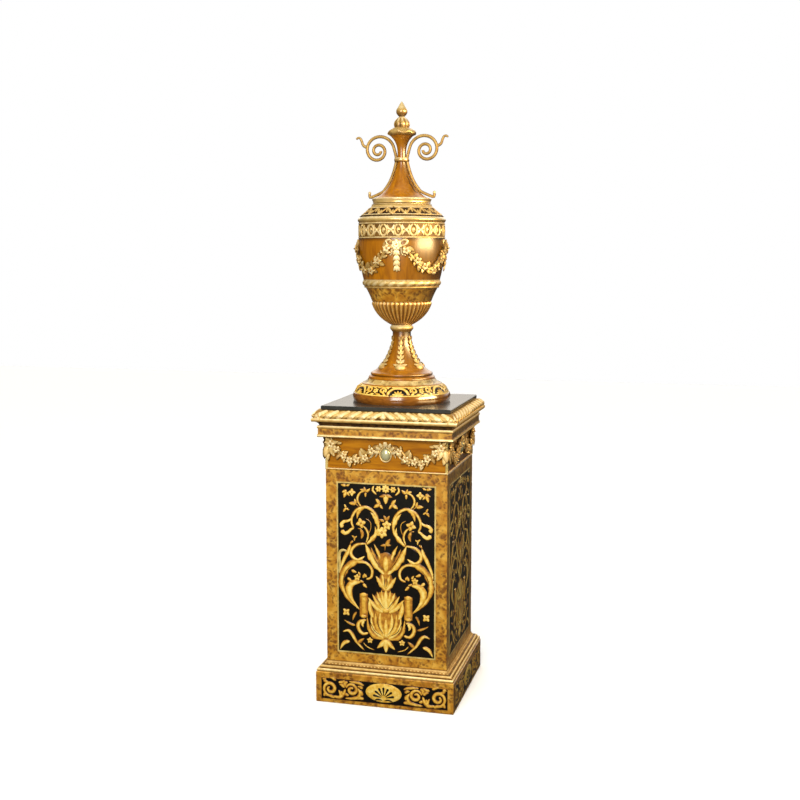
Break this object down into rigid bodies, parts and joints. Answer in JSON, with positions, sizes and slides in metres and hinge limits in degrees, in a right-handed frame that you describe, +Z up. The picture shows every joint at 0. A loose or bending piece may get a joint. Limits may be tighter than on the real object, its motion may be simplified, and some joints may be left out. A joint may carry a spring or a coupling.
{
  "type": "lidded pedestal vase",
  "caption": "Tall lidded vase of turned wood with gilt swags and scroll straps, standing on a square pedestal veneered with arabesque marquetry and crowned by a gadrooned cornice.",
  "frame": {"origin": "middle of the pedestal's underside", "axes": "+Z up along the axis of the vase, front towards -Y, +X to the right of the front"},
  "size_m": [0.4388, 0.4388, 1.776],
  "materials": {
    "gilt": "burnished gilding, darker in the hollows",
    "satinwood": "polished golden veneer",
    "burr": "polished burr veneer",
    "marquetry": "scorched light wood inlaid in an ebonised ground, with burr borders",
    "walnut": "glossy red-brown polish",
    "black_stone": "polished",
    "silvered": "pale silvered metal"
  },
  "bodies": {
    "root": {"plinth_block": "burr", "base_moulding": "gilt", "shaft": "marquetry", "shaft_fillet": "gilt", "frieze": "satinwood", "cornice": "burr", "gadroon_frame": "gilt", "top_slab": "black_stone", "frieze_garland_front": "gilt", "frieze_boss_front": "silvered", "frieze_garland_right": "gilt", "frieze_boss_right": "silvered", "frieze_garland_back": "gilt", "frieze_boss_back": "silvered", "frieze_garland_left": "gilt", "frieze_boss_left": "silvered", "foot": "walnut", "stem": "satinwood", "stem_leaf_1": "gilt", "stem_leaf_2": "gilt", "stem_leaf_3": "gilt", "stem_leaf_4": "gilt", "stem_leaf_5": "gilt", "stem_leaf_6": "gilt", "stem_collar": "gilt", "gadroon_cup": "gilt", "vase_body": "satinwood", "girdle_ring": "gilt", "gallery_band": "gilt", "rosette_drop_front": "gilt", "swag_1": "gilt", "rosette_drop_right": "gilt", "swag_2": "gilt", "rosette_drop_back": "gilt", "swag_3": "gilt", "rosette_drop_left": "gilt", "swag_4": "gilt", "lid_rim": "gilt", "lid_shoulder": "satinwood", "lid_ring": "gilt", "spire": "satinwood", "spire_clasp": "gilt", "finial": "gilt", "scroll_strap_right": "gilt", "scroll_strap_left": "gilt"}
  },
  "joints": []
}
